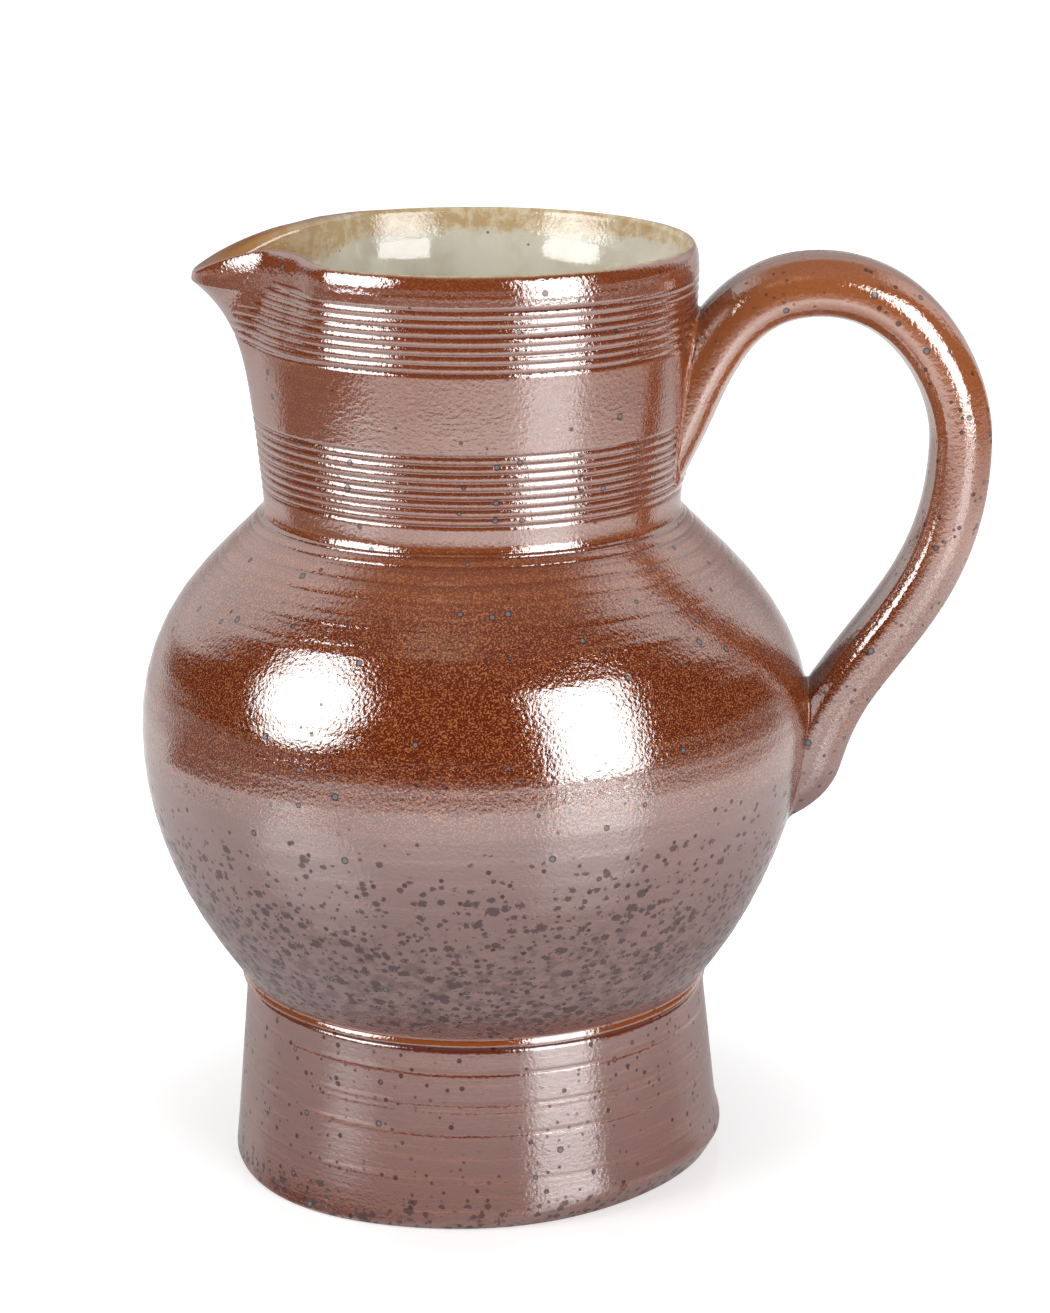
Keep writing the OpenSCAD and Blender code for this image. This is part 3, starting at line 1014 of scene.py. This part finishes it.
def inside_colour(g, mm):
    """Ochre band under the rim, brown towards the spout, with a ragged edge on the pale liner glaze."""
    x = g.node("ShaderNodeSeparateXYZ", Vector=mm).outputs["X"]
    ochre = g.mix(g.span(g.noise(mm, 0.25, 4.0, 0.7), 0.4, 0.62), OCHRE, CREAM)
    ochre = g.mix(g.span(x, -28.0, -58.0), ochre, SPOUT_BROWN)
    pale = g.mix(g.span(g.noise(mm, 0.09, 4.0, 0.6), 0.35, 0.7), CELADON, CELADON_DEEP)
    tatter = g.times(g.less(g.noise(mm, 0.3, 4.0, 0.7), 0.5), 6.0)
    ragged = g.add(g.attribute("liner"), tatter)
    colour = g.mix(g.span(ragged, 9.0, 11.0), ochre, pale)
    distance, held, _ = g.spots(mm, 0.2, 0.4)
    return g.mix(g.times(g.span(distance, 0.1, 0.05), held, 0.8), colour, SPECK)


def mottles(g, mm, z, fine):
    """Dark mottles of the lower belly and of the foot by the table."""
    density = g.times(g.span(z, *MOTTLED), g.span(z, *MOTTLED_TO))
    density = g.most(density, g.times(g.span(z, *BY_TABLE), 0.8))
    blotch = g.noise(g.scaled(mm, (0.3, 0.3, 0.5)), 1.0, 3.0, 0.6)
    wash = g.span(g.add(blotch, g.times(density, 0.2)), 0.62, 0.8)
    mottle = g.times(wash, g.span(density, 0.3, 0.9), 0.5)
    for scale, share in ((0.27, 1.4), (0.45, 1.9)):
        distance, pick, size = g.cells(g.scaled(mm, (1.0, 1.0, 1.25)), scale)
        held = g.span(g.less(g.times(density, share), pick), 0.0, 0.05)
        reach = g.span(size, 0.0, 1.0, 0.17, 0.46)
        away = g.add(distance, g.times(g.less(fine, 0.5), 0.55))
        mottle = g.most(mottle, g.times(g.span(g.less(reach, away), -0.02, 0.12), held))
    return mottle


def pits(g, mm, x, z, foot, patch):
    """Dark pits, and the blue hearts of those that have one."""
    bow_from, bow_to = 82.0, 92.0
    distance, held, _ = g.spots(mm, 0.27, 0.6)
    where = g.most(g.span(z, *PITTED), g.span(x, bow_from, bow_to))
    pit = g.times(g.span(distance, 0.2, 0.13), held, where)
    distance, held, _ = g.spots(mm, 0.45, 0.6)
    where = g.most(g.attribute("thin"), foot)
    small = g.times(g.span(distance, 0.26, 0.14), held, where, g.span(patch, 0.4, 0.6))
    distance, held, size = g.spots(mm, 0.19, 0.8)
    distance = g.math("DIVIDE", distance, g.span(size, 0.0, 1.0, 0.5, 1.3))
    ring = g.times(g.span(distance, 0.15, 0.11), held)
    heart = g.times(g.span(distance, 0.105, 0.06), held)
    return g.most(g.most(pit, small), ring), heart


def salt_glaze():
    """Red-brown outside glaze, drier and mauve low on the belly, thin and orange on edges."""
    material, g = new_material("salt_glaze_red")
    mm = millimetres(g)
    x, _, z = g.node("ShaderNodeSeparateXYZ", Vector=mm).outputs
    dip, edge, lip = g.attribute("dip"), g.attribute("edge"), g.attribute("lip")
    dry = g.span(z, *DRY)
    foot = g.span(z, *FOOT)

    peel, _, _ = g.cells(mm, 0.95)
    fine = g.noise(mm, 1.5, 2.0, 0.5)
    # Fine tan speckle: partly grain in the glaze, partly painted glints of the lamps on the peel's bumps
    tan_grain_and_glints = g.span(g.noise(g.scaled(mm, (1.0, 1.0, 1.2)), 2.35, 2.0, 0.6), 0.52, 0.6)
    patch = g.noise(mm, 0.07, 4.0, 0.6)
    streak = g.noise(g.scaled(mm, (0.045, 0.045, 0.9)), 1.0, 4.0, 0.65)
    brushed = g.noise(g.scaled(mm, (0.03, 0.03, 1.7)), 1.0, 4.0, 0.7)
    hammered = g.noise(g.scaled(mm, (0.5, 0.5, 1.4)), 1.0, 2.0, 0.5)

    # Clean glaze
    grain_and_glint_zone = g.times(g.span(z, *GRAIN_AND_GLINTS_FROM, 0.05, 0.85), g.span(z, *GRAIN_AND_GLINTS_TO, 1.0, 0.35))
    on_neck = g.times(g.span(z, *SHOULDER), g.span(z, *COLLAR, 0.14, 0.2))
    # Tan up the strap: thin glaze, and partly a painted top light that grows towards the arch
    strap_tan_and_top_light = g.times(g.attribute("thin"), g.span(z, *STRAP_TAN_AND_TOP_LIGHT, 0.06, 0.45))
    mauve = g.times(g.span(z, *MAUVE), g.span(z, *ABOVE_FOOT), 0.45)
    colour = g.mix(g.times(g.span(patch, 0.35, 0.7), 0.4), RED, DEEP)
    for share, over in (
        (g.times(g.span(streak, 0.5, 0.72), 0.22), TAN),
        (g.times(grain_and_glint_zone, 0.62), BELLY_RED),
        # Tan speckle on the belly: partly grain, partly painted glints
        (g.times(tan_grain_and_glints, grain_and_glint_zone), TAN),
        (on_neck, TAN),
        (strap_tan_and_top_light, TAN),
        (mauve, PURPLE),
        # Darker glaze pooled in the neck's grooves and the shoulder's lines, and on the foot a painted
        # shade line under the crown
        (g.times(dip, 0.75), DEEP),
        (g.times(foot, g.span(brushed, 0.56, 0.72), 0.35), ORANGE),
    ):
        colour = g.mix(share, colour, over)

    # Mottles, pits, worn edges and the lip
    mottle = mottles(g, mm, z, fine)
    pit, heart = pits(g, mm, x, z, foot, patch)
    flaw = g.most(g.times(mottle, 0.9), pit)
    broken = g.most(g.span(z, *CROWN), g.span(patch, 0.44, 0.62))
    for share, over in (
        (g.times(mottle, 0.88), MOTTLE),
        (g.times(pit, 0.8), DARK),
        (g.times(heart, 0.9), BLUE),
        (g.times(edge, broken, 0.7), ORANGE),
        (lip, inside_colour(g, mm)),
    ):
        colour = g.mix(share, colour, over)
    tint = g.mix(g.times(flaw, g.less(1.0, lip)), CLEAR, DULL)
    tint = g.mix(lip, tint, LIP_DULL)

    rough = g.add(
        g.times(g.span(z, *GLOSSY, 0.09, 0.028), g.less(1.0, g.times(edge, 0.5))),
        g.times(fine, 0.02),
        g.times(flaw, 0.15),
        g.times(lip, 0.15),
    )
    plain_band = g.times(g.span(z, *PLAIN_BAND_LOW), g.span(z, *PLAIN_BAND_HIGH))
    relief = g.add(
        g.times(peel, g.span(dry, 0.0, 1.0, 0.55, 0.35)),
        g.times(fine, g.span(dry, 0.0, 1.0, 1.05, 0.9)),
        g.times(streak, g.span(foot, 0.0, 1.0, 0.1, 0.3)),
        g.times(brushed, foot, 0.6),
        g.times(hammered, plain_band, 1.4),
        g.times(flaw, -0.3),
    )
    bump = g.node("ShaderNodeBump", Height=relief, Distance=GLAZE_RELIEF, Strength=1.0)
    g.principled(
        Base_Color=colour,
        Roughness=rough,
        IOR=2.6,
        Specular_Tint=tint,
        Normal=bump.outputs["Normal"],
    )
    return material


def liner_glaze():
    """Pale glaze poured inside."""
    material, g = new_material("liner_glaze_pale")
    mm = millimetres(g)
    relief = g.noise(mm, 0.5, 3.0, 0.5)
    bump = g.node("ShaderNodeBump", Height=relief, Distance=LINER_RELIEF, Strength=1.0)
    g.principled(
        Base_Color=inside_colour(g, mm),
        Roughness=g.span(g.noise(mm, 0.9, 2.0, 0.5), 0.3, 0.7, 0.07, 0.14),
        IOR=1.85,
        Normal=bump.outputs["Normal"],
    )
    return material


# Stage, light and camera, in metres
stage_reach = 4.0
aim_z = 0.12
WHITE = (1.0, 1.0, 1.0)


def aim_at_jug(thing, azimuth, elevation):
    """Place a lamp or card a metre from the jug and turn it there, azimuth from -Y towards +X."""
    a, e = math.radians(azimuth), math.radians(elevation)
    back = Vector((math.sin(a) * math.cos(e), -math.cos(a) * math.cos(e), math.sin(e)))
    thing.location = Vector((0, 0, aim_z)) + back
    thing.rotation_euler = back.to_track_quat("Z", "Y").to_euler()


def flat_sheet(name, corners, z, material):
    mesh = bpy.data.meshes.new(name)
    mesh.from_pydata([(x, y, 0) for x, y in corners], [], [tuple(range(len(corners)))])
    mesh.materials.append(material)
    sheet = bpy.data.objects.new(name, mesh)
    sheet.location.z = z
    bpy.context.scene.collection.objects.link(sheet)
    return sheet


def rectangle(wide, tall):
    x, y = wide / 2, tall / 2
    return [(-x, -y), (x, -y), (x, y), (-x, y)]


def seen_rays(g):
    """Rays from the camera, and rays mirrored or passed on by a surface."""
    path = g.node("ShaderNodeLightPath").outputs
    return path["Is Camera Ray"], g.most(path["Is Glossy Ray"], path["Is Transmission Ray"])


def make_floor():
    """White glossy table, which keeps the jug's shadow and dims away from it in reflections."""
    material, g = new_material("white_table")
    place = g.node("ShaderNodeTexCoord").outputs["Object"]
    length = g.tree.nodes.new("ShaderNodeVectorMath")
    length.operation = "LENGTH"
    g.put(length.inputs[0], place)
    away = length.outputs["Value"]
    x = g.node("ShaderNodeSeparateXYZ", Vector=place).outputs["X"]
    sides = g.times(g.span(x, -0.32, 0.0, 0.62, 1.0), g.span(x, 0.25, 0.6, 1.0, 0.62))
    rings = g.times(g.span(away, 0.1, 0.4, 0.2, 0.86), g.span(away, 0.42, 0.7, 1.0, 0.56))
    camera, mirrored = seen_rays(g)
    lift = g.add(
        g.times(camera, g.span(away, 0.05, 0.16, 0.5, 0.95)),
        g.times(mirrored, rings, sides),
    )
    g.principled(
        Base_Color=(0.62, 0.62, 0.62),
        Roughness=0.12,
        IOR=1.5,
        Emission_Color=WHITE,
        Emission_Strength=lift,
    )
    flat_sheet("floor", rectangle(2 * stage_reach, 2 * stage_reach), -0.0001, material)


def card_material(name, colour):
    material, g = new_material(name)
    glow = g.node("ShaderNodeEmission", Color=colour, Strength=1.0)
    g.node("ShaderNodeOutputMaterial", Surface=glow.outputs[0])
    return material


def hide_from_all_but_gloss(card):
    card.visible_camera = False
    card.visible_diffuse = False
    card.visible_transmission = False
    card.visible_shadow = False


def make_flags():
    """Dark cards on the table, which only the glaze reflects."""
    material = card_material("dark_card", (0.2, 0.19, 0.18))
    far = stage_reach
    gap = 0.0005
    cards = {
        "flag_left": [(-0.36, 0.18), (-far, 1.1), (-far, -far), (-1.8, -far)],
        "flag_right": [(0.95, 0.7), (0.95, -far), (far, -far), (far, 2.8)],
        "flag_front": [(-0.5, -1.05), (-1.9, -far), (1.9, -far), (0.5, -1.05)],
    }
    for step, (name, corners) in enumerate(cards.items()):
        hide_from_all_but_gloss(flat_sheet(name, corners, gap * (step + 1), material))


def make_high_card():
    """Small warm card over the camera, which the shoulder reflects."""
    material = card_material("warm_card", (0.5, 0.4, 0.3))
    card = flat_sheet("warm_card", rectangle(0.36, 0.15), 0.0, material)
    aim_at_jug(card, -17.0, 61.5)
    hide_from_all_but_gloss(card)


def make_world():
    """Dim room with a white wall behind, a grey ceiling and darker front, white to the camera."""
    dim, grey, fill = (0.02, 0.019, 0.018), (0.24, 0.23, 0.22), (0.45, 0.44, 0.43)
    front_level, fill_level = 0.2, 0.5
    world = bpy.data.worlds.new("studio")
    bpy.context.scene.world = world
    world.use_nodes = True
    g = Graph(world.node_tree)
    direction = g.node("ShaderNodeTexCoord").outputs["Generated"]
    way = g.node("ShaderNodeSeparateXYZ", Vector=direction).outputs
    below = g.span(way["Z"], 0.0, -0.03)
    aside = g.math("ABSOLUTE", way["X"])
    behind = g.span(g.add(way["Y"], way["Z"], g.times(aside, 0.4)), 0.98, 1.1)
    behind = g.times(behind, g.span(way["Z"], 0.95, 0.8))
    ceiling = g.mix(g.span(way["Z"], 0.72, 0.95), dim, grey)
    camera, mirrored = seen_rays(g)
    room = g.mix(g.most(camera, mirrored), fill, ceiling)
    colour = g.mix(g.most(below, behind), room, WHITE)
    sides = g.span(aside, 0.25, 0.65, front_level, 1.0)
    reflected = g.times(mirrored, g.most(sides, below))
    level = g.most(camera, g.most(reflected, fill_level))
    background = g.node("ShaderNodeBackground", Color=colour, Strength=level)
    g.node("ShaderNodeOutputWorld", Surface=background.outputs[0])


def softbox(name, azimuth, elevation, wide, tall, shape, radiance):
    """Area lamp of a given brightness, which the glaze mirrors and the camera doesn't see."""
    lamp = bpy.data.lights.new(name, "AREA")
    lamp.shape = shape
    lamp.size, lamp.size_y = wide, tall
    area = wide * tall * (math.pi / 4 if shape == "ELLIPSE" else 1.0)
    lamp.energy = radiance * math.pi * area
    lamp_object = bpy.data.objects.new(name, lamp)
    aim_at_jug(lamp_object, azimuth, elevation)
    lamp_object.visible_camera = False
    bpy.context.scene.collection.objects.link(lamp_object)


def make_camera():
    """Camera fitted to the outline in the photograph."""
    long_side = 1313.0
    focal_px = 3563.7
    pitch, yaw = 15.676, 3.0
    data = bpy.data.cameras.new("camera")
    data.sensor_width = 36.0
    data.lens = focal_px * data.sensor_width / long_side
    camera = bpy.data.objects.new("camera", data)
    camera.location = (0.0548, -0.8101, 0.3486)
    camera.rotation_euler = (math.radians(90 - pitch), 0, math.radians(yaw))
    bpy.context.scene.collection.objects.link(camera)
    bpy.context.scene.camera = camera


bpy.context.scene.view_settings.view_transform = "Standard"
make_camera()
make_floor()
make_flags()
make_high_card()
make_world()
lamp_radiance = 5.6
softbox("softbox_left", -58.6, 25.5, 0.68, 0.72, "ELLIPSE", lamp_radiance)
softbox("softbox_right", 44.9, 18.5, 0.56, 0.82, "RECTANGLE", lamp_radiance)

glaze = salt_glaze()
liner = liner_glaze()
make_foot(glaze)
make_belly(glaze)
make_neck(glaze)
make_spout(glaze)
make_lining(liner)
make_handle(glaze)
make_lute("upper_lute_wiped", "upper_handle_lute", True, 2.2, 1.6, 0.45, glaze)
make_lute("lower_lute_wiped", "lower_handle_lute", False, 3.0, 1.2, 0.0, glaze)
